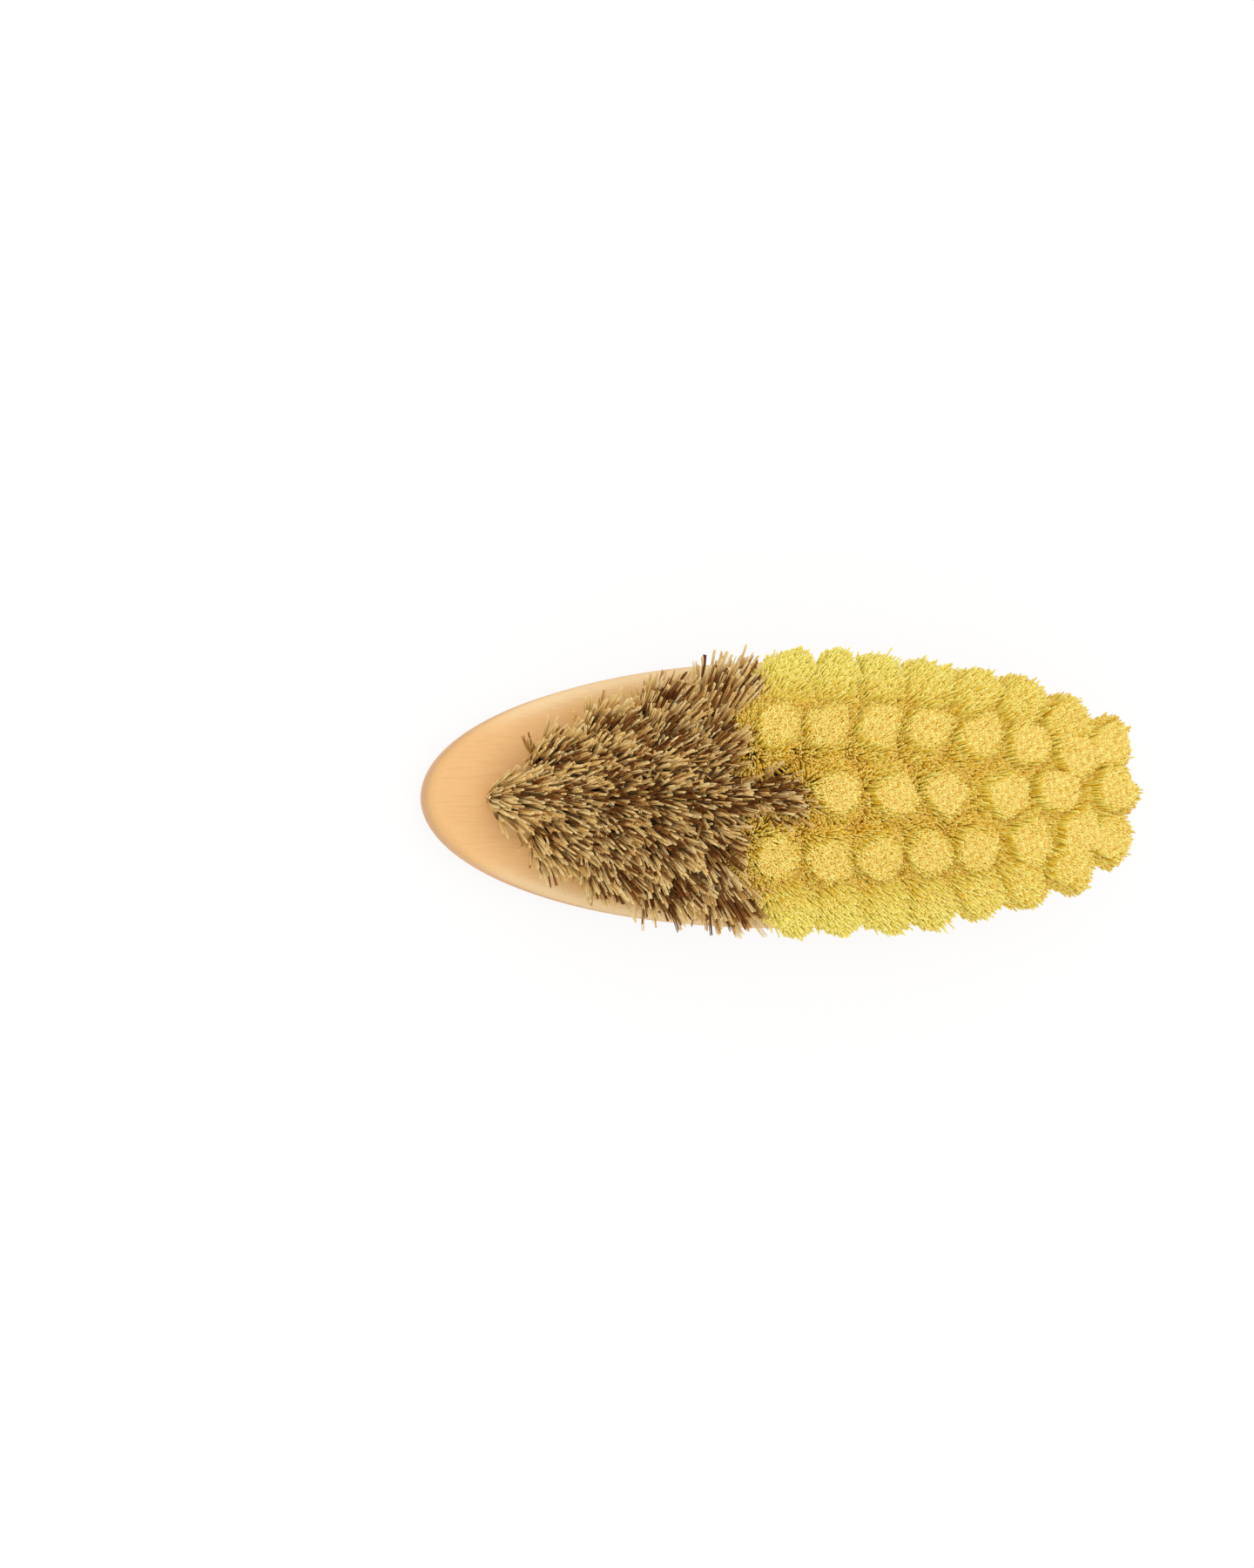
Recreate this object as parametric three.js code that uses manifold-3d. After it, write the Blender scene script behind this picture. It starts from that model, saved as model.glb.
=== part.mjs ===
import * as THREE from 'three';
import { mergeVertices } from 'three/addons/utils/BufferGeometryUtils.js';
import Module from 'manifold-3d';

const wasm = await Module();
wasm.setup();

// Oval shoe brush lying on its back, in millimetres.
// +X runs from the dark nose to the yellow heel, +Z out of the bristle face, and the back rests on z = 0.

// Beech block
const blockLength = 140;
const blockWidth = 52;
const blockThickness = 16;
const backRounding = 5;
const faceRounding = 2;

// Rows of tufts: margins from the edge of the block to the curves that carry the rows
const rowHeelMargin = 9.7;
const rowNoseMargin = 17.5;
const outerSideMargin = 8;
const innerSideMargin = 16;
const centreEndMargin = 14.1;

// Where the first and last tuft of each curved row stand, measured along its curve from the curve's ends
const outerHeelMargin = 8.9;
const outerNoseMargin = 10.2;
const innerHeelMargin = 12.6;
const innerNoseMargin = 17.1;

// Tufts in one row, and how much wider apart the dark ones stand
const outerYellowCount = 8;
const outerDarkCount = 4;
const innerYellowCount = 7;
const innerDarkCount = 3;
const centreYellowCount = 6;
const centreDarkCount = 6;
const outerDarkPitchRatio = 1.33;
const innerDarkPitchRatio = 1.15;

// Splay of the tufts, in degrees, at the heel end and at the sides of the outer row
const heelSplay = 13;
const yellowSideSplay = 14;
const darkSideSplay = 5;

// Drilled holes and the staples at their bottoms
const holeDiameter = 4.5;
const holeDepth = 8.5;
const foldPlay = 0.5;
const stapleBite = 0.5;
const stapleThickness = 0.45;
const stapleHeight = 2;
const foldThickness = 1.1;

// Bristles, trimmed flat
const bristleTrim = 22;
const strandsRoundTuft = 5;
const strandRootRadius = 0.66;
const strandTipRadius = 1.05;
const tuftTipRadius = 3;

// Slice of the face that carries the tufts, let into the block
const sliceThickness = 1.2;
const sliceRim = 3.3;

const fitGap = 0.3;

// Facets
const outlineSides = 72;
const sliceSides = 48;
const roundingSteps = 4;
const holeSides = 8;
const strandSides = 3;

const rowHeelReach = blockLength / 2 - rowHeelMargin;
const rowNoseReach = blockLength / 2 - rowNoseMargin;
const outerHalfWidth = blockWidth / 2 - outerSideMargin;
const innerHalfWidth = blockWidth / 2 - innerSideMargin;
const plugRadius = holeDiameter / 2 - fitGap;
const strandRingRadius = plugRadius - strandRootRadius;
const tipHeight = blockThickness + bristleTrim;
const sliceFloor = blockThickness - sliceThickness;
const stapleWidth = holeDiameter + 2 * stapleBite;
const plugDepth = holeDepth - foldPlay;
const stapleDepth = plugDepth - foldThickness - stapleHeight / 2;

const up = new THREE.Vector3(0, 0, 1);
const fullSize = new THREE.Vector3(1, 1, 1);

function solidFrom(geometry, matrix = new THREE.Matrix4()) {
  const bare = geometry.clone().applyMatrix4(matrix);
  bare.deleteAttribute('normal');
  bare.deleteAttribute('uv');
  const merged = mergeVertices(bare);
  return new wasm.Manifold(new wasm.Mesh({
    numProp: 3,
    vertProperties: merged.getAttribute('position').array,
    triVerts: Uint32Array.from(merged.getIndex().array),
  }));
}

function geometryFrom(solid) {
  const mesh = solid.getMesh();
  const geometry = new THREE.BufferGeometry();
  geometry.setAttribute('position', new THREE.BufferAttribute(mesh.vertProperties, 3));
  geometry.setIndex(new THREE.BufferAttribute(mesh.triVerts, 1));
  geometry.computeVertexNormals();
  return geometry;
}

function joined(solids) {
  return solids.reduce((whole, solid) => whole.add(solid));
}

// A box standing on zLow and closed at zHigh, wider than the whole brush
function slab(zLow, zHigh) {
  const height = zHigh - zLow;
  const box = new THREE.BoxGeometry(2 * blockLength, 2 * blockWidth, height);
  return solidFrom(box.translate(0, 0, zLow + height / 2));
}

// A plate with an oval outline
function ovalPlate(halfLength, halfWidth, zLow, zHigh) {
  const outline = new THREE.Shape().absellipse(0, 0, halfLength, halfWidth, 0, 2 * Math.PI);
  const plate = new THREE.ExtrudeGeometry(outline, {
    depth: zHigh - zLow,
    bevelEnabled: false,
    curveSegments: sliceSides,
  });
  return solidFrom(plate.translate(0, 0, zLow));
}

// The block's section levels: a rounded back edge, an upright side and a rounded face edge
function blockLevels() {
  const levels = [];
  for (let step = 0; step <= roundingSteps; step += 1) {
    const turn = (step / roundingSteps) * Math.PI / 2;
    levels.push({ z: backRounding * (1 - Math.cos(turn)), inset: backRounding * (1 - Math.sin(turn)) });
  }
  for (let step = 0; step <= roundingSteps; step += 1) {
    const turn = (step / roundingSteps) * Math.PI / 2;
    levels.push({
      z: blockThickness - faceRounding * (1 - Math.sin(turn)),
      inset: faceRounding * (1 - Math.cos(turn)),
    });
  }
  return levels;
}

// Loft through the levels, each an even inset of the oval, closed by flat ends
function blockLoft() {
  const halfLength = blockLength / 2;
  const halfWidth = blockWidth / 2;
  const levels = blockLevels();
  const positions = [];
  const index = [];
  for (const { z, inset } of levels) {
    for (let side = 0; side < outlineSides; side += 1) {
      const turn = (side / outlineSides) * 2 * Math.PI;
      const normal = new THREE.Vector2(halfWidth * Math.cos(turn), halfLength * Math.sin(turn)).normalize();
      const x = halfLength * Math.cos(turn) - inset * normal.x;
      const y = halfWidth * Math.sin(turn) - inset * normal.y;
      positions.push(x, y, z);
    }
  }
  const backCentre = positions.length / 3;
  positions.push(0, 0, 0);
  const faceCentre = backCentre + 1;
  positions.push(0, 0, blockThickness);
  const topLevel = (levels.length - 1) * outlineSides;
  for (let side = 0; side < outlineSides; side += 1) {
    const next = (side + 1) % outlineSides;
    for (let level = 0; level < levels.length - 1; level += 1) {
      const low = level * outlineSides;
      const high = low + outlineSides;
      index.push(low + side, low + next, high + next);
      index.push(low + side, high + next, high + side);
    }
    index.push(backCentre, next, side);
    index.push(faceCentre, topLevel + side, topLevel + next);
  }
  const geometry = new THREE.BufferGeometry();
  geometry.setAttribute('position', new THREE.Float32BufferAttribute(positions, 3));
  geometry.setIndex(index);
  return geometry;
}

// A tuft's place on the face and the splayed frame of its hole, whose own +Z points out of the wood
function tuftAt(x, y, fibre) {
  const sideSplay = fibre === 'dark' ? darkSideSplay : yellowSideSplay;
  const leanX = THREE.MathUtils.degToRad(heelSplay * Math.max(0, x) / rowHeelReach);
  const leanY = THREE.MathUtils.degToRad(sideSplay * y / outerHalfWidth);
  const slope = new THREE.Vector3(Math.tan(leanX), Math.tan(leanY), 1);
  const root = new THREE.Vector3(x, y, blockThickness);
  const turn = new THREE.Quaternion().setFromUnitVectors(up, slope.clone().normalize());
  const frame = new THREE.Matrix4().compose(root, turn, fullSize);
  return { root, slope, turn, frame, fibre };
}

// Tufts along one row, from the heel to the nose on an oval curve, on the given sides of the long axis
function tuftRow(row) {
  const curve = new THREE.CurvePath();
  curve.add(new THREE.EllipseCurve(0, 0, row.heelReach, row.halfWidth, 0, Math.PI / 2));
  curve.add(new THREE.EllipseCurve(0, 0, row.noseReach, row.halfWidth, Math.PI / 2, Math.PI));
  const length = curve.getLength();
  const steps = row.yellowCount - 1 + row.darkCount * row.pitchRatio;
  const pitch = (length - row.heelMargin - row.noseMargin) / steps;
  const tufts = [];
  for (let place = 0; place < row.yellowCount + row.darkCount; place += 1) {
    const darkSteps = Math.max(0, place - row.yellowCount + 1);
    const distance = row.heelMargin + pitch * (place - darkSteps + darkSteps * row.pitchRatio);
    const point = curve.getPoint(distance / length);
    const fibre = darkSteps > 0 ? 'dark' : 'yellow';
    for (const side of row.sides) {
      tufts.push(tuftAt(point.x, side * point.y, fibre));
    }
  }
  return tufts;
}

const outerTufts = tuftRow({
  heelReach: rowHeelReach,
  noseReach: rowNoseReach,
  halfWidth: outerHalfWidth,
  heelMargin: outerHeelMargin,
  noseMargin: outerNoseMargin,
  yellowCount: outerYellowCount,
  darkCount: outerDarkCount,
  pitchRatio: outerDarkPitchRatio,
  sides: [1, -1],
});
const innerTufts = tuftRow({
  heelReach: rowHeelReach,
  noseReach: rowNoseReach,
  halfWidth: innerHalfWidth,
  heelMargin: innerHeelMargin,
  noseMargin: innerNoseMargin,
  yellowCount: innerYellowCount,
  darkCount: innerDarkCount,
  pitchRatio: innerDarkPitchRatio,
  sides: [1, -1],
});
const centreTufts = tuftRow({
  heelReach: blockLength / 2,
  noseReach: blockLength / 2,
  halfWidth: 0,
  heelMargin: centreEndMargin,
  noseMargin: centreEndMargin,
  yellowCount: centreYellowCount,
  darkCount: centreDarkCount,
  pitchRatio: 1,
  sides: [1],
});
const allTufts = [...centreTufts, ...innerTufts, ...outerTufts];

// A round bar along a tuft's axis, from a depth in the wood to clear of the face
function tuftBar(tuft, radius, depth) {
  const bar = new THREE.CylinderGeometry(radius, radius, depth + holeDiameter, holeSides);
  bar.rotateX(Math.PI / 2).translate(0, 0, (holeDiameter - depth) / 2);
  return solidFrom(bar, tuft.frame);
}

// The space that a staple takes across the bottom of its hole
function stapleBox(clearance) {
  const grown = 2 * clearance;
  return new THREE.BoxGeometry(stapleWidth + grown, stapleThickness + grown, stapleHeight + grown);
}

function stapleSeat(tuft) {
  return solidFrom(stapleBox(fitGap).translate(0, 0, -stapleDepth), tuft.frame);
}

// One strand, rooted in the slice at an offset from the tuft's middle and spread at its tip
function strand(tuft, angle, rootOffset, tipOffset) {
  const rim = new THREE.Vector3(Math.cos(angle), Math.sin(angle), 0);
  const root = tuft.root.clone().addScaledVector(rim, rootOffset);
  const tip = tuft.root.clone().addScaledVector(tuft.slope, bristleTrim).addScaledVector(rim, tipOffset);
  const along = tip.clone().sub(root).normalize();
  root.addScaledVector(along, -sliceThickness / 2);
  tip.addScaledVector(along, strandTipRadius);
  const middle = root.clone().add(tip).multiplyScalar(0.5);
  const length = root.distanceTo(tip);
  const bar = new THREE.CylinderGeometry(strandTipRadius, strandRootRadius, length, strandSides);
  bar.rotateY(Math.PI / 2).rotateX(Math.PI / 2);
  const turn = new THREE.Quaternion().setFromUnitVectors(up, along);
  return solidFrom(bar, new THREE.Matrix4().compose(middle, turn, fullSize));
}

function strandsOf(tuft) {
  const strands = [strand(tuft, 0, 0, 0)];
  for (let place = 0; place < strandsRoundTuft; place += 1) {
    const angle = (place / strandsRoundTuft) * 2 * Math.PI;
    strands.push(strand(tuft, angle, strandRingRadius, tuftTipRadius));
  }
  return strands;
}

// Plan of the dark half of the face: everything towards the nose, with a tongue along the centre row
function darkZone(growth) {
  const midway = (row) => {
    const yellow = row.filter((tuft) => tuft.fibre === 'yellow').map((tuft) => tuft.root.x);
    const dark = row.filter((tuft) => tuft.fibre === 'dark').map((tuft) => tuft.root.x);
    return (Math.min(...yellow) + Math.max(...dark)) / 2 + growth;
  };
  const edge = midway(innerTufts);
  const tongueEnd = midway(centreTufts);
  const tongueHalfWidth = innerHalfWidth / 2 + growth;
  const plan = new THREE.Shape();
  plan.moveTo(-blockLength, -blockWidth);
  plan.lineTo(edge, -blockWidth);
  plan.lineTo(edge, -tongueHalfWidth);
  plan.lineTo(tongueEnd, -tongueHalfWidth);
  plan.lineTo(tongueEnd, tongueHalfWidth);
  plan.lineTo(edge, tongueHalfWidth);
  plan.lineTo(edge, blockWidth);
  plan.lineTo(-blockLength, blockWidth);
  return solidFrom(new THREE.ExtrudeGeometry(plan, { depth: tipHeight, bevelEnabled: false }));
}

// Tufts of one fibre: the slice, the folded roots with a window for each staple, and the strands
function bristleField(fibre) {
  const tufts = allTufts.filter((tuft) => tuft.fibre === fibre);
  const whole = ovalPlate(rowHeelReach + sliceRim, outerHalfWidth + sliceRim, sliceFloor, blockThickness);
  const slice = fibre === 'dark' ? whole.intersect(darkZone(0)) : whole.subtract(darkZone(fitGap));
  const plugs = joined(tufts.map((tuft) => tuftBar(tuft, plugRadius, plugDepth)));
  const windows = joined(tufts.map(stapleSeat));
  const roots = plugs.intersect(slab(0, blockThickness - sliceThickness / 2)).subtract(windows);
  const strands = joined(tufts.flatMap(strandsOf)).intersect(slab(0, tipHeight));
  return geometryFrom(slice.add(roots).add(strands));
}

// The drilled block, with the slice's recess and the kerfs that the staple ends bite
function drilledBlock() {
  const recess = ovalPlate(
    rowHeelReach + sliceRim + fitGap,
    outerHalfWidth + sliceRim + fitGap,
    sliceFloor - fitGap,
    tipHeight,
  );
  const holes = joined(allTufts.map((tuft) => tuftBar(tuft, holeDiameter / 2, holeDepth)));
  const kerfs = joined(allTufts.map(stapleSeat));
  return geometryFrom(solidFrom(blockLoft()).subtract(recess).subtract(holes).subtract(kerfs));
}

const beech = { color: 0xe0b07a, roughness: 0.55, metalness: 0 };
const darkHair = { color: 0x5b4734, roughness: 0.7, metalness: 0 };
const yellowFilament = { color: 0xe7cf62, roughness: 0.55, metalness: 0 };
const stapleSteel = { color: 0xb9bcc0, roughness: 0.35, metalness: 1 };

const brush = new THREE.Group();

function addPiece(name, geometry, finish) {
  const piece = new THREE.Mesh(geometry, new THREE.MeshStandardMaterial(finish));
  piece.name = name;
  brush.add(piece);
  return piece;
}

addPiece('handle_block', drilledBlock(), beech);
addPiece('dark_bristles', bristleField('dark'), darkHair);
addPiece('yellow_bristles', bristleField('yellow'), yellowFilament);

for (const fibre of ['dark', 'yellow']) {
  const tufts = allTufts.filter((tuft) => tuft.fibre === fibre);
  tufts.forEach((tuft, place) => {
    const number = String(place + 1).padStart(2, '0');
    const staple = addPiece(`${fibre}_tuft_staple_${number}`, stapleBox(0), stapleSteel);
    staple.position.set(0, 0, -stapleDepth).applyMatrix4(tuft.frame);
    staple.quaternion.copy(tuft.turn);
  });
}

export default brush;
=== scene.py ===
import bpy
import bmesh
import math
import numpy as np
from mathutils import Euler, Matrix, Vector


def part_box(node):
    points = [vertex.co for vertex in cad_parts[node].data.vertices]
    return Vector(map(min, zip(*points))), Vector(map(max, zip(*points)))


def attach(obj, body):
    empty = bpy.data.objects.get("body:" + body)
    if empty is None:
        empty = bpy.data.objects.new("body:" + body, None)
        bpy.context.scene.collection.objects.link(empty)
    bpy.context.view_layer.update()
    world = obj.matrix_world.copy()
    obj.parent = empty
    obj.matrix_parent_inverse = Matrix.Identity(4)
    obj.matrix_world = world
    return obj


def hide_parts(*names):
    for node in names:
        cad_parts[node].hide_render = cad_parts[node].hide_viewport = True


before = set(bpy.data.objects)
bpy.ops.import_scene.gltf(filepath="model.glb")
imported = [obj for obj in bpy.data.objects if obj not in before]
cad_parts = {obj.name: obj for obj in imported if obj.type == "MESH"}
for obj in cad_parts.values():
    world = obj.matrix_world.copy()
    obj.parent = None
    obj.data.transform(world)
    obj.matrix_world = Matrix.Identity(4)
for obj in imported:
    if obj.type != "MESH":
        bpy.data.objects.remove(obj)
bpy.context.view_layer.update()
mm = 0.001
fullTurn = 2 * math.pi

blockLow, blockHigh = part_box("handle_block")
faceHeight = blockHigh.z  # the bristle face
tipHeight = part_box("yellow_bristles")[1].z  # where the bristles are trimmed
trim = tipHeight - faceHeight
print("frame loaded, trim", round(trim / mm, 1), "mm")


def clamp(value):
    return min(1.0, max(0.0, value))


def colour(red, green, blue):
    return (red, green, blue, 1.0)


# Shader sockets that take part in sums
class Wire:
    def __init__(self, finish, socket):
        self.finish = finish
        self.socket = socket

    def sum(self, operation, first, second):
        return self.finish.add("ShaderNodeMath", dict(operation=operation), {0: first, 1: second})

    def __add__(self, other):
        return self.sum("ADD", self, other)

    def __radd__(self, other):
        return self.sum("ADD", other, self)

    def __sub__(self, other):
        return self.sum("SUBTRACT", self, other)

    def __rsub__(self, other):
        return self.sum("SUBTRACT", other, self)

    def __mul__(self, other):
        return self.sum("MULTIPLY", self, other)

    def __rmul__(self, other):
        return self.sum("MULTIPLY", other, self)

    def __truediv__(self, other):
        return self.sum("DIVIDE", self, other)

    def __pow__(self, other):
        return self.sum("POWER", self, other)


class Finish:
    def __init__(self, name):
        self.material = bpy.data.materials.new(name)
        self.material.use_nodes = True
        self.tree = self.material.node_tree
        self.shader = self.tree.nodes["Principled BSDF"]

    # any node: its settings first, then the values or wires of its sockets
    def add(self, kind, settings=None, sockets=None, out=0):
        node = self.tree.nodes.new(kind)
        for key, value in (settings or {}).items():
            if key == "stops":
                self.setStops(node.color_ramp, value)
            else:
                setattr(node, key, value)
        for key, value in (sockets or {}).items():
            self.feed(node.inputs[key], value)
        return Wire(self, node.outputs[out])

    def setStops(self, ramp, stops):
        while len(ramp.elements) < len(stops):
            ramp.elements.new(1.0)
        for element, (place, tone) in zip(ramp.elements, stops):
            element.position = place
            element.color = tone

    def feed(self, socket, value):
        if isinstance(value, Wire):
            self.tree.links.new(value.socket, socket)
        else:
            socket.default_value = value

    def ramp(self, place, stops):
        return self.add("ShaderNodeValToRGB", dict(stops=stops), {"Fac": place})

    def mix(self, share, first, second):
        sockets = {"Factor": share, 6: first, 7: second}  # six and seven take colours
        return self.add("ShaderNodeMix", dict(data_type="RGBA"), sockets, 2)

    def smooth(self, value, low, high):
        settings = dict(interpolation_type="SMOOTHSTEP")
        sockets = {"Value": value, "From Min": low, "From Max": high}
        return self.add("ShaderNodeMapRange", settings, sockets)

    def split(self, vector):
        parts = self.add("ShaderNodeSeparateXYZ", {}, {0: vector}).socket.node
        return [Wire(self, output) for output in parts.outputs]

    # object coordinates counted in cells of the given size
    def cells(self, x, y, z):
        place = self.add("ShaderNodeTexCoord", out="Object")
        size = (1 / x, 1 / y, 1 / z)
        return self.add("ShaderNodeVectorMath", dict(operation="MULTIPLY"), {0: place, 1: size})

    def noise(self, vector, detail=2.0):
        return self.add("ShaderNodeTexNoise", {}, {"Vector": vector, "Scale": 1.0, "Detail": detail})

    def surface(self, **sockets):
        for name, value in sockets.items():
            words = "".join(" " + letter if letter.isupper() else letter for letter in name)
            self.feed(self.shader.inputs[words.strip().title()], value)
        return self.material


# Beech, oiled on the back and raw on the bristle face
beech = dict(
    honey=colour(0.70, 0.325, 0.08),
    straw=colour(0.80, 0.43, 0.13),
    raw=colour(0.88, 0.56, 0.25),
    # a painted highlight along the rounded rims of the long sides of the face
    rim=colour(0.93, 0.72, 0.42),
    fleck=colour(0.46, 0.185, 0.04),
    glint=colour(0.93, 0.62, 0.27),
    bandSize=(70 * mm, 15 * mm, 24 * mm),
    bandDetail=3.0,
    bandLevels=(0.25, 0.75),
    pithAcross=12 * mm,
    pithBelow=-85 * mm,
    ringWidth=3.4 * mm,
    ringWander=1.6,
    wanderSize=(55 * mm, 14 * mm, 14 * mm),
    lateWood=(0.5, 0.98),  # of a ring's width
    lateWoodTone=0.14,
    rawDepth=(3 * mm, 0.3 * mm),
    rawTone=0.72,
    rimHighlightReach=(0.86, 0.97),  # of the way out to the edge
    rimHighlightSides=(0.15, 0.5),
    rimHighlightTone=0.65,
    endReach=(0.5, 0.9),
    endTone=0.2,
    backEdge=(1.2 * mm, 3.5 * mm),
    fleckSize=(3.6 * mm, 0.42 * mm, 0.5 * mm),
    fleckStagger=0.382,  # so that the rows never fall into columns
    fleckEdge=(0.14, 0.38),
    fleckVigour=(0.25, 1.0),
    glintVigour=(0.25, 0.05),
    sideFlecks=0.45,
    fleckTone=0.6,
    glintTone=0.4,
    poreSize=(6 * mm, 0.2 * mm, 0.3 * mm),
    poreLevels=(0.52, 0.74),
    poreTone=0.2,
    poreLoss=0.05,  # on the raw face
    fleckRelief=0.4,
    bumpStrength=0.2,
    bumpDepth=0.1 * mm,
    roughness=0.46,
    rawRougher=0.1,
    poreRougher=0.15,
    glintSmoother=0.1,
)


def beechFinish():
    f = Finish("beech")
    along, across, height = f.split(f.add("ShaderNodeTexCoord", out="Object"))
    rawStart, rawFull = beech["rawDepth"]
    face = f.smooth(height, faceHeight - rawStart, faceHeight - rawFull)

    # broad bands along the grain, and growth rings round a pith that lies far behind the back
    bands = f.noise(f.cells(*beech["bandSize"]), beech["bandDetail"])
    base = f.mix(f.smooth(bands, *beech["bandLevels"]), beech["honey"], beech["straw"])
    wander = f.noise(f.cells(*beech["wanderSize"])) * beech["ringWander"]
    beside = across - beech["pithAcross"]
    above = height - beech["pithBelow"]
    radius = (beside * beside + above * above) ** 0.5 / beech["ringWidth"] + wander
    ring = f.add("ShaderNodeMath", dict(operation="FRACT"), {0: radius})
    base = f.mix(f.smooth(ring, *beech["lateWood"]) * beech["lateWoodTone"], base, beech["fleck"])

    # the bristle face is paler than the oiled back; along the rims of the long sides a painted highlight lies
    # on it
    base = f.mix(face * beech["rawTone"], base, beech["raw"])
    endways = along / blockHigh.x
    sideways = across / blockHigh.y
    rim = f.smooth((endways * endways + sideways * sideways) ** 0.5, *beech["rimHighlightReach"])
    rim = rim * f.smooth(sideways * sideways, *beech["rimHighlightSides"])
    endGrain = f.smooth(endways * endways, *beech["endReach"])  # nose and heel
    base = f.mix(face * endGrain * beech["endTone"], base, beech["honey"])
    # painted highlight: the rims of the long sides are painted paler, as if they caught the light
    base = f.mix(face * rim * beech["rimHighlightTone"], base, beech["rim"])

    # ray flecks: thin blades, some dark and some shining, clearest on the back
    backLow, backHigh = beech["backEdge"]
    onBack = f.smooth(height, backHigh, backLow)
    onSide = f.smooth(height, backLow, backHigh) * (1 - face)
    fleckLength, backWidth, sideWidth = beech["fleckSize"]
    lengthwise = along / fleckLength
    flecks, glints = 0, 0
    for rows, strength in ((across / backWidth, onBack), (height / sideWidth, onSide * beech["sideFlecks"])):
        staggered = lengthwise + rows * beech["fleckStagger"]
        vector = f.add("ShaderNodeCombineXYZ", {}, {0: staggered, 1: rows})
        settings = dict(feature="F1", voronoi_dimensions="2D")
        blades = f.add("ShaderNodeTexVoronoi", settings, {"Vector": vector, "Scale": 1.0})
        vigour = f.split(Wire(f, blades.socket.node.outputs["Color"]))[0]
        dash = (1 - f.smooth(blades, *beech["fleckEdge"])) * strength
        flecks = flecks + dash * f.smooth(vigour, *beech["fleckVigour"])
        glints = glints + dash * f.smooth(vigour, *beech["glintVigour"])
    base = f.mix(flecks * beech["fleckTone"], base, beech["fleck"])
    base = f.mix(glints * beech["glintTone"], base, beech["glint"])

    # pores: hair-fine lines along the grain
    pores = f.smooth(f.noise(f.cells(*beech["poreSize"])), *beech["poreLevels"])
    base = f.mix(pores * (beech["poreTone"] - face * beech["poreLoss"]), base, beech["fleck"])

    relief = flecks * beech["fleckRelief"] + pores
    sockets = {"Strength": beech["bumpStrength"], "Distance": beech["bumpDepth"], "Height": 1 - relief}
    bump = f.add("ShaderNodeBump", {}, sockets)
    roughness = beech["roughness"] + face * beech["rawRougher"] + pores * beech["poreRougher"]
    return f.surface(baseColor=base, roughness=roughness - glints * beech["glintSmoother"], normal=bump)


# Where the tufts stand, read from the staples that hold them: root on the face and direction
def readTufts(kind):
    tufts = []
    for name, node in sorted(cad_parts.items()):
        if not name.startswith(kind + "_tuft_staple_"):
            continue
        corners = np.array([vertex.co for vertex in node.data.vertices])
        corners = np.unique(np.round(corners, 5), axis=0)  # one of each, to 0.01 mm
        middle = corners.mean(axis=0)
        axis = np.linalg.eigh(np.cov((corners - middle).T))[1][:, 1]  # neither the width nor the thickness
        axis = axis * np.sign(axis[2])
        tufts.append((middle + axis * (faceHeight - middle[2]) / axis[2], axis))
    return tufts


darkTufts = readTufts("dark")
yellowTufts = readTufts("yellow")
print("tufts read:", len(darkTufts), "dark,", len(yellowTufts), "yellow")


# Wooden block
block = dict(
    sides=160,
    faceRounding=2 * mm,
    faceSteps=5,
    backRounding=5 * mm,
    backSteps=7,
    flatRing=0.4 * mm,
    holeRadius=2.25 * mm,
    holeDepth=8.5 * mm,
    holeSides=20,
    smoothUnder=32,
    edgeMargin=0.01 * mm,
    levelNormal=0.999,
)


def editEdges(piece, wanted):
    bpy.ops.mesh.select_mode(type="EDGE")
    bpy.ops.mesh.select_all(action="DESELECT")
    mesh = bmesh.from_edit_mesh(piece.data)
    for edge in mesh.edges:
        edge.select_set(all(wanted(vertex.co) for vertex in edge.verts))
    mesh.select_flush_mode()
    bmesh.update_edit_mesh(piece.data)


def editFlats(piece):
    bpy.ops.mesh.select_mode(type="FACE")
    bpy.ops.mesh.select_all(action="DESELECT")
    mesh = bmesh.from_edit_mesh(piece.data)
    for face in mesh.faces:
        level = abs(face.normal.z) > block["levelNormal"]
        face.select_set(level and len(face.verts) > 4)  # the roundings are all of four-sided faces
    bmesh.update_edit_mesh(piece.data)


def makeDrills():
    bpy.ops.mesh.primitive_cylinder_add(
        vertices=block["holeSides"],
        radius=block["holeRadius"],
        depth=2 * block["holeDepth"],
        location=(0, 0, 0),
    )
    first = bpy.context.object
    drills = []
    for root, axis in darkTufts + yellowTufts:
        drill = first.copy()
        drill.data = first.data.copy()
        bpy.context.collection.objects.link(drill)
        turn = Vector((0, 0, 1)).rotation_difference(Vector(axis)).to_matrix().to_4x4()
        drill.matrix_world = Matrix.Translation(Vector(root)) @ turn
        drills.append(drill)
    bpy.data.objects.remove(first)
    bpy.ops.object.select_all(action="DESELECT")
    for drill in drills:
        drill.select_set(True)
    bpy.context.view_layer.objects.active = drills[0]
    bpy.ops.object.join()
    bpy.ops.object.transform_apply(location=True, rotation=True, scale=True)
    return bpy.context.object


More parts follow.
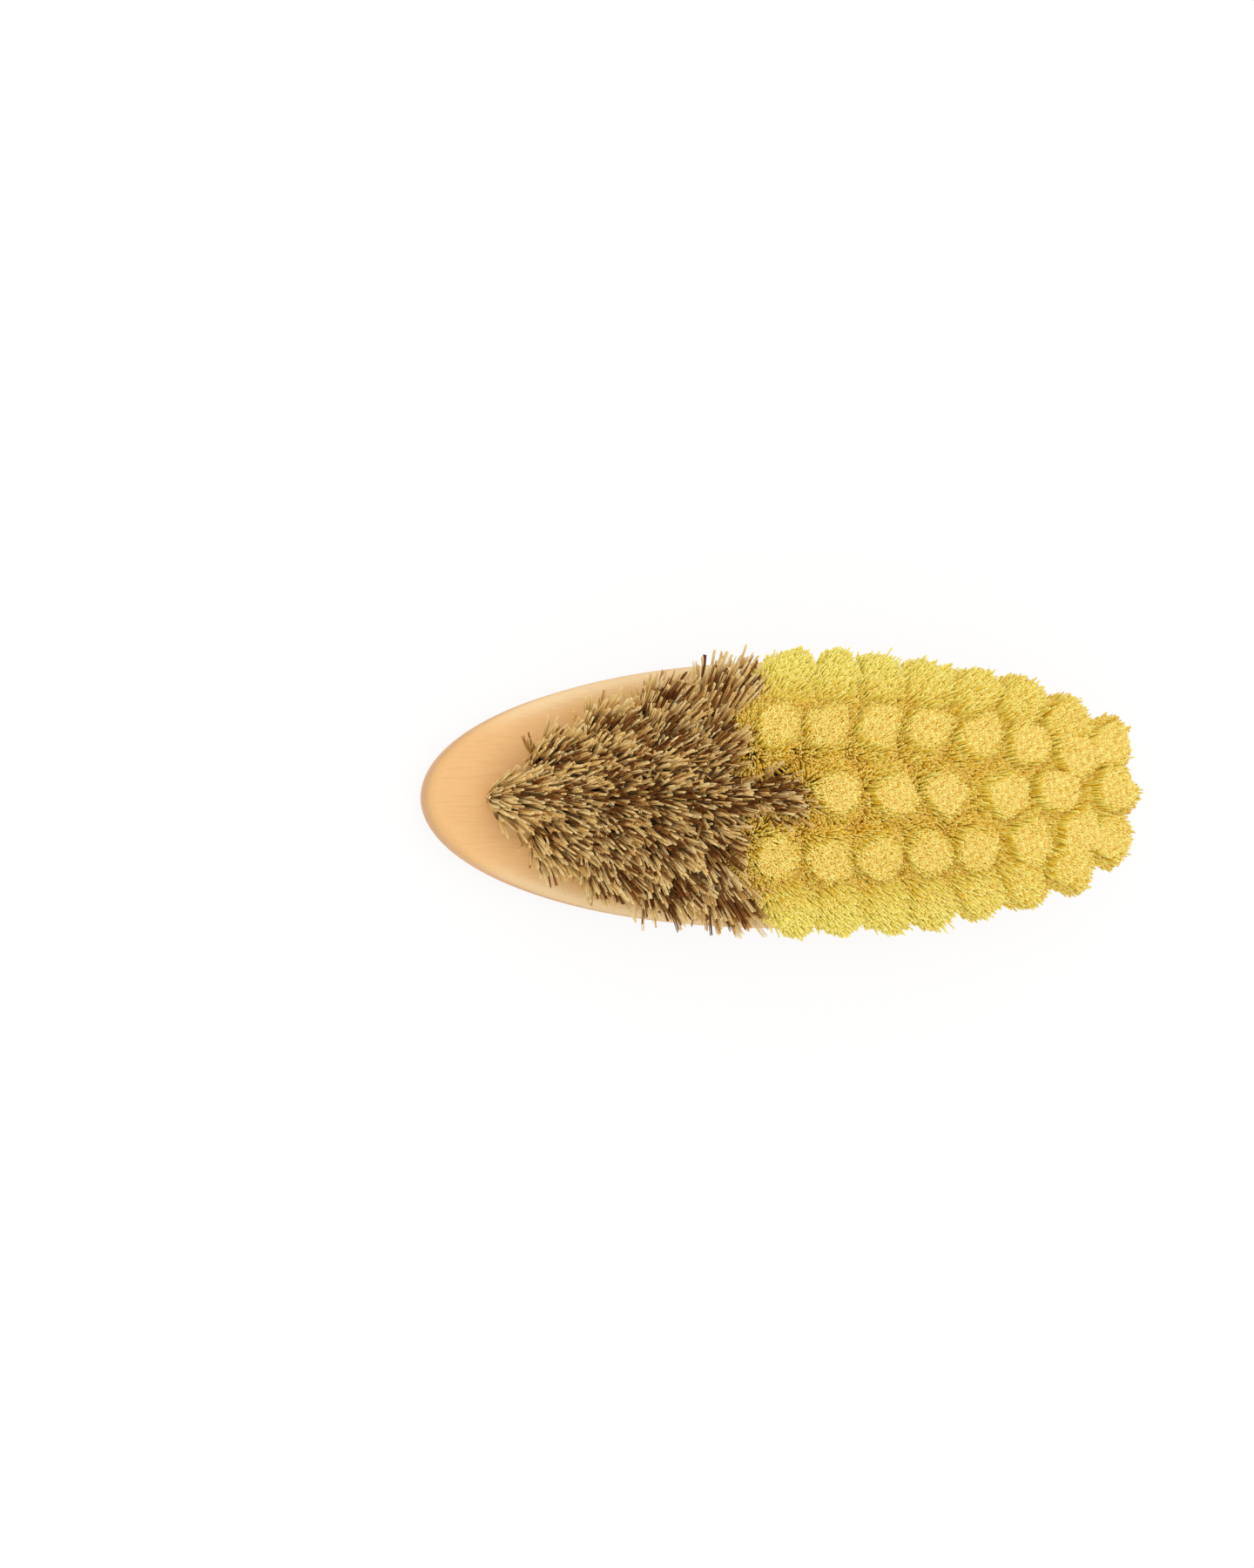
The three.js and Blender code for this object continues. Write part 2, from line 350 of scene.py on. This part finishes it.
def makeBlock():
    bpy.ops.object.select_all(action="DESELECT")
    middle = (blockLow + blockHigh) / 2
    size = blockHigh - blockLow
    bpy.ops.mesh.primitive_cylinder_add(vertices=block["sides"], radius=0.5, depth=1, location=middle)
    piece = bpy.context.object
    piece.name = "wooden_block"
    piece.scale = size
    bpy.ops.object.transform_apply(location=True, rotation=True, scale=True)

    bpy.ops.object.mode_set(mode="EDIT")
    editEdges(piece, lambda point: point.z > faceHeight - block["edgeMargin"])
    bpy.ops.mesh.bevel(offset=block["faceRounding"], segments=block["faceSteps"], affect="EDGES")
    editEdges(piece, lambda point: point.z < blockLow.z + block["edgeMargin"])
    bpy.ops.mesh.bevel(offset=block["backRounding"], segments=block["backSteps"], affect="EDGES")
    editFlats(piece)
    bpy.ops.mesh.inset(thickness=block["flatRing"])
    bpy.ops.object.mode_set(mode="OBJECT")

    drills = makeDrills()
    bpy.ops.object.select_all(action="DESELECT")
    piece.select_set(True)
    bpy.context.view_layer.objects.active = piece
    bpy.ops.object.modifier_add(type="BOOLEAN")
    cut = piece.modifiers[-1]
    cut.operation = "DIFFERENCE"
    cut.solver = "EXACT"
    cut.object = drills
    bpy.ops.object.modifier_apply(modifier=cut.name)
    bpy.data.objects.remove(drills)
    bpy.ops.object.shade_smooth_by_angle(angle=math.radians(block["smoothUnder"]))

    piece.data.materials.clear()
    piece.data.materials.append(beechFinish())
    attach(piece, "root")
    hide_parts("handle_block")
    print("wooden block:", len(piece.data.polygons), "faces")


# Each fibre has its own place on the map that its colour is read from: across it from deep to pale,
# up it from root to tip, with the two ends below and above the sides
fibre = dict(
    sides=3,
    hairSteps=3,
    filamentSteps=2,
    mapLeft=0.03,
    mapWidth=0.94,
    halfWidth=0.004,
    sideFoot=0.03,
    sideHeight=0.92,
    rootEnd=0.01,
    tipEnd=0.985,
    endHeight=0.005,
)


def fibreMap(f):
    return f.split(f.add("ShaderNodeUVMap", dict(uv_map="OFBake")))[:2]


# One fibre, a prism of unit radius and height, drawn out in steps
def makeFibrePattern(steps):
    bpy.ops.object.select_all(action="DESELECT")
    bpy.ops.mesh.primitive_circle_add(vertices=fibre["sides"], radius=1, fill_type="NGON", location=(0, 0, 0))
    piece = bpy.context.object
    bpy.ops.object.mode_set(mode="EDIT")
    bpy.ops.mesh.select_all(action="SELECT")
    for step in range(steps):
        bpy.ops.mesh.extrude_region_move(TRANSFORM_OT_translate=dict(value=(0, 0, 1 / steps)))
    bpy.ops.mesh.select_all(action="SELECT")
    bpy.ops.mesh.normals_make_consistent(inside=False)
    bpy.ops.object.mode_set(mode="OBJECT")
    points = np.array([vertex.co for vertex in piece.data.vertices])
    faces = [list(polygon.vertices) for polygon in piece.data.polygons]

    spots = []
    for face in faces:
        corners = points[face]
        middle = corners.mean(axis=0)
        for x, y, z in corners:
            if len(face) > fibre["sides"]:
                across = np.sign(y * middle[0] - x * middle[1])  # left or right of the side's middle
                upwards = fibre["sideFoot"] + fibre["sideHeight"] * z
            else:
                across = x
                upwards = (fibre["tipEnd"] if z > 0.5 else fibre["rootEnd"]) + fibre["endHeight"] * y
            spots.append((fibre["halfWidth"] * across, upwards))
    bpy.data.objects.remove(piece)
    return points, faces, np.array(spots)


# Copies the pattern along one bent line for each fibre
def drawFibres(name, fibres, pattern, material, node):
    points, faces, spots = pattern
    facts = {key: np.array(values)[:, None] for key, values in fibres.items()}
    root, bend, tip = facts["root"], facts["bend"], facts["tip"]
    thick, thin = facts["rootRadius"], facts["tipRadius"]
    count, size = len(root), len(points)
    up = points[:, 2][None, :, None]
    line = root * (1 - up) ** 2 + 2 * bend * up * (1 - up) + tip * up ** 2
    radius = thick + (thin - thick) * points[:, 2]
    angle = facts["twist"] + np.arctan2(points[:, 1], points[:, 0])
    line[:, :, 0] += radius * np.cos(angle)
    line[:, :, 1] += radius * np.sin(angle)
    corners = []
    for first in range(0, count * size, size):
        corners += [[corner + first for corner in face] for face in faces]
    smooth = [len(face) > fibre["sides"] for face in faces]  # the ends stay flat

    mesh = bpy.data.meshes.new(name)
    mesh.from_pydata(line.reshape(-1, 3).tolist(), [], corners)
    mesh.polygons.foreach_set("use_smooth", smooth * count)
    across = fibre["mapLeft"] + fibre["mapWidth"] * facts["shade"] + spots[:, 0]
    upwards = np.broadcast_to(spots[:, 1], across.shape)
    places = np.stack((across, upwards), axis=2)
    mesh.uv_layers.new(name="OFBake").data.foreach_set("uv", places.ravel())
    mesh.materials.append(material)
    mesh.update()

    piece = bpy.data.objects.new(name, mesh)
    bpy.context.collection.objects.link(piece)
    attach(piece, "root")
    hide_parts(node)
    print(name + ":", count, "fibres,", sum(len(face) - 2 for face in faces) * count, "triangles")


def emptyFibres():
    return dict(root=[], bend=[], tip=[], rootRadius=[], tipRadius=[], twist=[], shade=[])


def addFibre(fibres, **facts):
    for key, value in facts.items():
        fibres[key].append(value)


goldenTurn = math.pi * (3 - math.sqrt(5))


# Evenly spread places on a disc of unit radius
def discSpots(count, phase):
    turns = [phase + place * goldenTurn for place in range(count)]
    reach = [math.sqrt((place + 0.5) / count) for place in range(count)]
    return [np.array((math.cos(turn) * far, math.sin(turn) * far, 0)) for turn, far in zip(turns, reach)]


patchWaves = 6


# Soft patches over a whole field, from about minus one to one, where its fibres run darker or paler
def makePatches(dice, sizes):
    waves = []
    for place in range(patchWaves):
        turn = dice.uniform(0, math.pi)
        pace = fullTurn / dice.uniform(*sizes)
        waves.append((pace * math.cos(turn), pace * math.sin(turn), dice.uniform(0, fullTurn)))

    def patch(point):
        heights = [math.sin(x * point[0] + y * point[1] + start) for x, y, start in waves]
        return sum(heights) / math.sqrt(patchWaves)

    return patch


# Yellow filament: the deep shades and the roots are darker and more orange, as painted shade and a painted
# glow of light bounced between the tufts; paler at the tips
filament = dict(
    deep=(
        (0.0, colour(0.94, 0.53, 0.04)),
        (0.4, colour(0.89, 0.54, 0.02)),
        (1.0, colour(0.83, 0.54, 0.02)),
    ),
    pale=(
        (0.0, colour(0.97, 0.70, 0.09)),
        (0.4, colour(0.98, 0.79, 0.12)),
        (1.0, colour(0.98, 0.89, 0.23)),
    ),
    cutDeep=colour(0.80, 0.49, 0.13),
    cutPale=colour(0.98, 0.83, 0.31),
    cutFrom=(0.955, 0.975),  # between the sides and the tip's end on the map
    cutTone=0.85,
    roughness=0.45,
    cutRougher=0.2,
    specular=0.15,
)


def yellowFinish():
    f = Finish("yellow_filament")
    shade, along = fibreMap(f)
    tone = f.mix(shade, f.ramp(along, filament["deep"]), f.ramp(along, filament["pale"]))
    cutEnd = f.smooth(along, *filament["cutFrom"])
    cut = f.mix(shade, filament["cutDeep"], filament["cutPale"])
    tone = f.mix(cutEnd * filament["cutTone"], tone, cut)
    f.shader.inputs["Specular IOR Level"].default_value = filament["specular"]
    return f.surface(baseColor=tone, roughness=filament["roughness"] + cutEnd * filament["cutRougher"])


# Yellow tufts: a cut crown and a skirt of shorter filaments that fills the rows
yellow = dict(
    seed=11,
    pieces=6,
    crownFibres=1100,
    skirtFibres=1150,
    rootSpread=1.75 * mm,
    mouthSpread=3.3 * mm,
    tipSpread=3.8 * mm,
    skirtSpread=(3.8 * mm, 9.2 * mm),
    skirtDrop=(3.4 * mm, 11.0 * mm),
    dropPower=1.5,
    bendHeight=0.5,
    bendOut=0.22,
    sunk=3 * mm,
    rootRadius=0.12 * mm,
    crownRadius=0.185 * mm,
    skirtRadius=0.17 * mm,
    lowThicker=0.45,
    lowPaintedShade=0.8,
    wander=0.18 * mm,
    rimWander=0.26 * mm,
    crownDrop=0.2 * mm,
    unevenCut=0.3 * mm,
    fullSplay=0.25,  # slope of the outer rows, which are looser and cut in clumps, and painted paler as painted light
    splayPower=4,
    unevenSplay=2.2 * mm,
    clumpDrop=4.5 * mm,
    wispySplay=0.5 * mm,
    splayPaintedLight=0.96,
    insidePaintedLight=0.25,
    flare=0.2,
    combed=1.8 * mm,
    outerSide=0.75,
    tidySide=0.72,
    upright=0.001,
    grainSize=(1.0 * mm, 2.2 * mm),
    grains=0.22,
    tuftLean=0.35 * mm,
    lobes=3,
    ripple=0.07,
    widest=28.4 * mm,
    drawnIn=2.2 * mm,
)


# Filaments that would stand out too far are drawn in, the more the further they reach
def drawIn(across):
    free = yellow["widest"] - yellow["drawnIn"]
    over = max(0.0, abs(across) - free)
    return math.copysign(abs(across) - over + yellow["drawnIn"] * math.tanh(over / yellow["drawnIn"]), across)


def makeYellowTufts(name, tufts, grain, dice, material):
    fibres = emptyFibres()
    nearest, furthest = yellow["skirtSpread"]
    highest, lowest = yellow["skirtDrop"]
    for root, axis in tufts:
        slope = axis / axis[2]
        splayed = min(1.0, (slope[1] / yellow["fullSplay"]) ** yellow["splayPower"])
        unevenCut = yellow["unevenCut"] + yellow["unevenSplay"] * splayed
        wisps = yellow["wander"] + yellow["wispySplay"] * splayed
        # painted light: the outer rows take paler shades, most of all on the sides that face outwards
        deepest = yellow["splayPaintedLight"] * splayed
        bendHeight = yellow["bendHeight"] + yellow["flare"] * splayed
        bendShare = np.array((yellow["bendOut"], yellow["bendOut"], bendHeight))
        combed = np.array((yellow["combed"] * splayed, 0, 0))
        lateral = np.append(slope[:2], 0)
        leaning = float(np.linalg.norm(lateral))
        outwards = lateral / leaning if leaning > yellow["upright"] else lateral
        tidy = yellow["tidySide"] * min(1.0, (leaning / yellow["fullSplay"]) ** 2)
        lean = np.append(dice.normal(0, yellow["tuftLean"], 2), 0)
        lobes = dice.uniform(0, fullTurn, yellow["lobes"])
        crown = discSpots(yellow["crownFibres"], dice.uniform(0, fullTurn))
        for place in range(yellow["crownFibres"] + yellow["skirtFibres"]):
            inCrown = place < yellow["crownFibres"]
            turn = dice.uniform(0, fullTurn)
            spot = crown[place] if inCrown else np.array((math.cos(turn), math.sin(turn), 0))
            fromMiddle = float(spot @ spot)
            # painted light on the side that faces outwards, painted shade on the side that faces inwards
            facing = min(1.0, yellow["outerSide"] + yellow["outerSide"] * float(spot @ outwards))
            deep = deepest * (yellow["insidePaintedLight"] + (1 - yellow["insidePaintedLight"]) * facing)
            if inCrown:
                reach = yellow["tipSpread"]
                drop = yellow["crownDrop"] * fromMiddle ** 2 + abs(dice.normal(0, unevenCut))
                tipRadius = yellow["crownRadius"]
                shade = dice.uniform(deep, 1)
                wander = wisps + yellow["rimWander"] * fromMiddle ** 3
            else:
                low = dice.uniform(0, 1 - tidy * facing)  # a lower end stands further out
                reach = nearest + low * (furthest - nearest)
                drop = highest + low ** yellow["dropPower"] * (lowest - highest)
                tipRadius = yellow["skirtRadius"] * (1 + yellow["lowThicker"] * low)
                # painted shade: the lower a skirt filament ends, down in the valleys, the deeper its shade
                shade = dice.uniform(deep, 1 - yellow["lowPaintedShade"] * low * (1 - deep))
                wander = yellow["rimWander"]
            angle = math.atan2(spot[1], spot[0])
            ripples = sum(math.sin(count * angle + lobe) for count, lobe in enumerate(lobes, 2))
            outline = 1 + yellow["ripple"] * ripples
            clump = max(0.0, -grain(root + slope * trim + spot * reach))  # lower between the clumps
            height = trim - drop - yellow["clumpDrop"] * splayed * clump
            tip = root + slope * height + spot * reach * outline + lean * height / trim
            tip[:2] += dice.normal(0, wander, 2)
            tip[1] = drawIn(tip[1])
            addFibre(
                fibres,
                root=root - slope * yellow["sunk"] + spot * yellow["rootSpread"],
                bend=root + slope * bendShare * height + spot * yellow["mouthSpread"] - combed,
                tip=tip,
                rootRadius=yellow["rootRadius"],
                tipRadius=tipRadius,
                twist=dice.uniform(0, fullTurn),
                shade=clamp(shade + yellow["grains"] * grain(tip)),
            )
    drawFibres(name, fibres, filamentPattern, material, "yellow_bristles")


# Dark natural hair: from nearly black to cream, with cream roots
hair = dict(
    tips=(
        (0.0, colour(0.11, 0.028, 0.005)),
        (0.4, colour(0.26, 0.090, 0.018)),
        (0.6, colour(0.60, 0.33, 0.10)),
        (0.78, colour(0.94, 0.66, 0.25)),
        (1.0, colour(0.98, 0.81, 0.44)),
    ),
    roots=(
        (0.0, colour(0.84, 0.57, 0.20)),
        (1.0, colour(0.96, 0.72, 0.32)),
    ),
    turning=(0.5, 0.85),  # from root to tip
    roughness=0.5,
    paleRougher=0.15,
    specular=0.1,
)


def darkFinish():
    f = Finish("dark_hair")
    shade, along = fibreMap(f)
    tone = f.mix(f.smooth(along, *hair["turning"]), f.ramp(shade, hair["roots"]), f.ramp(shade, hair["tips"]))
    f.shader.inputs["Specular IOR Level"].default_value = hair["specular"]
    return f.surface(baseColor=tone, roughness=hair["roughness"] + shade * hair["paleRougher"])


# Dark tufts: small locks of hair that draw together at ragged tips, over lower and wider ones
dark = dict(
    seed=23,
    topLocks=125,
    lowLocks=55,
    hairs=5,
    rootSpread=1.8 * mm,
    mouthSpread=np.array((4.8, 3.6, 0)) * mm,
    tipSpread=np.array((5.9, 5.2, 0)) * mm,
    edgeNarrowing=0.22,
    sag=1.3 * mm,
    lowReach=(1.0, 1.45),
    lowDrop=(2.5 * mm, 9 * mm),
    sunk=3 * mm,
    lockRoot=0.3 * mm,
    lockMouth=0.45 * mm,
    lockTip=0.11 * mm,
    lockWander=0.8 * mm,
    hairWander=0.09 * mm,
    shortest=7.0 * mm,
    shortPower=1.6,
    raggedTip=0.8 * mm,
    bendHeight=0.45,
    bendDraw=0.6,
    outwardLean=4.2 * mm,
    tipLean=0.35,
    bendLean=0.65,
    cornerStart=-32 * mm,
    cornerLength=16 * mm,
    cornerPower=4,
    cornerLean=1.6 * mm,
    noseStart=0.5,  # of the way to the nose
    noseLength=0.3,
    frontDraw=3.2 * mm,
    heelLean=0.8 * mm,
    strayShare=0.004,
    strayReach=1.6 * mm,
    rootRadius=0.2 * mm,
    tipRadius=0.09 * mm,
    lockWidth=(0.55, 1.35),
    paleShare=0.3,
    palerRim=0.24,
    palerNose=0.34,
    upperPaintedLight=0.14,
    lowPale=0.84,
    brownShare=0.16,
    paleShades=(0.78, 1.0),
    brownShades=(0.5, 0.78),
    darkShades=(0.0, 0.5),
    unevenShade=0.06,
    patches=0.14,
    patchSize=(5 * mm, 11 * mm),
)


def lockShade(dice, pale):
    kind = dice.uniform(0, 1)
    if kind < pale:
        return dice.uniform(*dark["paleShades"])
    if kind < pale + dark["brownShare"]:
        return dice.uniform(*dark["brownShades"])
    return dice.uniform(*dark["darkShades"])


def makeDarkTufts(name, tufts, patch, dice, material):
    fibres = emptyFibres()
    halfWidth = max(abs(root[1]) for root, axis in darkTufts)
    for root, axis in tufts:
        slope = axis / axis[2]
        edge = root[1] / halfWidth
        corner = clamp((root[0] - dark["cornerStart"]) / dark["cornerLength"]) * edge ** dark["cornerPower"]
        nearNose = clamp((root[0] / blockLow.x - dark["noseStart"]) / dark["noseLength"])
        lean = np.array((dark["heelLean"], dark["outwardLean"] * edge, 0))
        spread = dark["tipSpread"] * (1, 1 - dark["edgeNarrowing"] * abs(edge), 0)
        draw = np.array((
            dark["frontDraw"] * nearNose ** 2,
            dark["cornerLean"] * corner * np.sign(edge) - dark["sag"] * (1 - corner),
            0,
        ))
        # painted light: locks on the upper side of the field are painted paler, as if lit more from above
        paleShare = dark["paleShare"] + dark["palerNose"] * nearNose + dark["upperPaintedLight"] * max(0.0, edge)
        locks = []
        for spot in discSpots(dark["topLocks"], dice.uniform(0, fullTurn)):
            drop = dark["shortest"] * dice.uniform(0, 1) ** dark["shortPower"]
            locks.append((spot, 1.0, drop, paleShare + dark["palerRim"] * float(spot @ spot)))
        for place in range(dark["lowLocks"]):
            turn = dice.uniform(0, fullTurn)
            spot = np.array((math.cos(turn), math.sin(turn), 0))
            reach = dice.uniform(*dark["lowReach"])
            drop = dice.uniform(*dark["lowDrop"])
            locks.append((spot, reach, drop, dark["lowPale"]))
        for spot, reach, drop, pale in locks:
            height = trim - drop
            lockTip = root + slope * height + spot * reach * spread + lean * dark["tipLean"] + draw
            lockTip[:2] += dice.normal(0, dark["lockWander"], 2)
            lockBend = root + slope * height * dark["bendHeight"] + spot * dark["mouthSpread"]
            lockBend = lockBend - lean * dark["bendLean"] + draw * dark["bendDraw"]
            shade = lockShade(dice, pale + dark["patches"] * patch(lockTip))
            width = dice.uniform(*dark["lockWidth"])
            for strand in discSpots(dark["hairs"], dice.uniform(0, fullTurn)):
                tip = lockTip + strand * dark["lockTip"] * width
                stray = dice.uniform(0, 1) < dark["strayShare"]
                tip[:2] += dice.normal(0, dark["strayReach"] if stray else dark["hairWander"], 2)
                tip[2] -= abs(dice.normal(0, dark["raggedTip"]))
                bend = lockBend + strand * dark["lockMouth"]
                bend[:2] += dice.normal(0, dark["hairWander"], 2)
                addFibre(
                    fibres,
                    root=root - slope * dark["sunk"] + spot * dark["rootSpread"] + strand * dark["lockRoot"],
                    bend=bend,
                    tip=tip,
                    rootRadius=dark["rootRadius"],
                    tipRadius=dark["tipRadius"] * width,
                    twist=dice.uniform(0, fullTurn),
                    shade=clamp(shade + dice.normal(0, dark["unevenShade"])),
                )
    drawFibres(name, fibres, hairPattern, material, "dark_bristles")


# Tufts in equal shares from the nose to the heel
def shares(tufts, count):
    fromNose = sorted(tufts, key=lambda tuft: tuft[0][0])
    size = len(fromNose) // count
    return [fromNose[first:first + size] for first in range(0, len(fromNose), size)]


hairPattern = makeFibrePattern(fibre["hairSteps"])
filamentPattern = makeFibrePattern(fibre["filamentSteps"])
makeBlock()
darkDice = np.random.default_rng(dark["seed"])
darkMaterial = darkFinish()
darkPatch = makePatches(darkDice, dark["patchSize"])
for name, tufts in zip(("dark_tufts_nose", "dark_tufts_middle"), shares(darkTufts, 2)):
    makeDarkTufts(name, tufts, darkPatch, darkDice, darkMaterial)
yellowDice = np.random.default_rng(yellow["seed"])
yellowMaterial = yellowFinish()
yellowGrain = makePatches(yellowDice, yellow["grainSize"])
for place, tufts in enumerate(shares(yellowTufts, yellow["pieces"])):
    makeYellowTufts(f"yellow_tufts_{place + 1}", tufts, yellowGrain, yellowDice, yellowMaterial)


# Staples of drawn flat wire, which keep the shape of their solids
staple = dict(
    drawnSize=(2 * mm, 0.1 * mm, 0.1 * mm),
    dull=colour(0.42, 0.42, 0.43),
    bright=colour(0.62, 0.62, 0.63),
    roughness=0.25,
    brightRougher=0.2,
)


def stapleFinish():
    f = Finish("staple_steel")
    drawn = f.noise(f.cells(*staple["drawnSize"]))
    tone = f.mix(drawn, staple["dull"], staple["bright"])
    roughness = staple["roughness"] + drawn * staple["brightRougher"]
    return f.surface(baseColor=tone, roughness=roughness, metallic=1.0)


stapleSteel = stapleFinish()
for name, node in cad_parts.items():
    if "_tuft_staple_" in name:
        node.data.materials.clear()
        node.data.materials.append(stapleSteel)
print("staples finished")


# Camera: in the photograph the brush lies tilted under a camera that looks straight down
view = dict(
    tilt=10.6,
    turn=0.27,
    roll=-1.16,
    distance=0.65,
    brushAside=(30.65 * mm, -2.13 * mm, 0.0),
    frameHeight=0.306,
    sensor=36.0,
)


def makeCamera():
    lens = bpy.data.cameras.new("camera")
    lens.sensor_fit = "VERTICAL"
    lens.sensor_height = view["sensor"]
    lens.lens = view["sensor"] * view["distance"] / view["frameHeight"]
    camera = bpy.data.objects.new("camera", lens)
    bpy.context.collection.objects.link(camera)
    angles = [math.radians(view[key]) for key in ("roll", "tilt", "turn")]
    toBrush = Euler(angles, "XYZ").to_matrix().transposed()
    away = Vector((0, 0, view["distance"])) - Vector(view["brushAside"])
    place = toBrush @ away + Vector((0, 0, faceHeight))
    camera.matrix_world = Matrix.Translation(place) @ toBrush.to_4x4()
    bpy.context.scene.camera = camera


# Plain pale floor under soft light
studio = dict(
    floorSize=6.0,
    floorBelow=0.1 * mm,
    floorTone=colour(0.97, 0.97, 0.97),
    floorGlow=0.86,
    worldTone=colour(1, 1, 1),
    worldLevel=0.68,
    keyPlace=(-0.1, 0.08, 1.6),
    keySize=1.2,
    keyPower=13.2,
)


# Rays that see the plain white surround: the camera's own and those that are mirrored or let through
def surroundRays(tree):
    path = tree.nodes.new("ShaderNodeLightPath")
    seen = path.outputs["Is Camera Ray"]
    for kind in ("Is Glossy Ray", "Is Transmission Ray"):
        either = tree.nodes.new("ShaderNodeMath")
        either.operation = "MAXIMUM"
        tree.links.new(seen, either.inputs[0])
        tree.links.new(path.outputs[kind], either.inputs[1])
        seen = either.outputs[0]
    return seen


def makeFloor():
    bpy.ops.object.select_all(action="DESELECT")
    floorHeight = blockLow.z - studio["floorBelow"]
    bpy.ops.mesh.primitive_plane_add(size=studio["floorSize"], location=(0, 0, floorHeight))
    floor = bpy.context.object
    floor.name = "floor"
    material = bpy.data.materials.new("floor")
    material.use_nodes = True
    tree = material.node_tree
    tree.nodes.clear()
    paint = tree.nodes.new("ShaderNodeBsdfDiffuse")
    paint.inputs["Color"].default_value = studio["floorTone"]
    glow = tree.nodes.new("ShaderNodeEmission")
    share = tree.nodes.new("ShaderNodeMath")
    share.operation = "MULTIPLY"
    share.inputs[1].default_value = studio["floorGlow"]
    tree.links.new(surroundRays(tree), share.inputs[0])
    both = tree.nodes.new("ShaderNodeMixShader")
    tree.links.new(share.outputs[0], both.inputs["Fac"])
    tree.links.new(paint.outputs[0], both.inputs[1])
    tree.links.new(glow.outputs[0], both.inputs[2])
    out = tree.nodes.new("ShaderNodeOutputMaterial")
    tree.links.new(both.outputs[0], out.inputs["Surface"])
    floor.data.materials.append(material)


def makeLight():
    world = bpy.data.worlds.new("studio")
    bpy.context.scene.world = world
    world.use_nodes = True
    tree = world.node_tree
    back = tree.nodes["Background"]
    back.inputs["Color"].default_value = studio["worldTone"]
    level = tree.nodes.new("ShaderNodeMapRange")
    level.inputs["To Min"].default_value = studio["worldLevel"]
    level.inputs["To Max"].default_value = 1.0
    tree.links.new(surroundRays(tree), level.inputs["Value"])
    tree.links.new(level.outputs[0], back.inputs["Strength"])
    lamp = bpy.data.lights.new("key", "AREA")
    lamp.energy = studio["keyPower"]
    lamp.size = studio["keySize"]
    key = bpy.data.objects.new("key", lamp)
    bpy.context.collection.objects.link(key)
    key.location = studio["keyPlace"]
    key.rotation_euler = (-Vector(studio["keyPlace"])).to_track_quat("-Z", "Y").to_euler()


makeCamera()
makeFloor()
makeLight()
bpy.context.scene.view_settings.view_transform = "Standard"
print("studio ready")
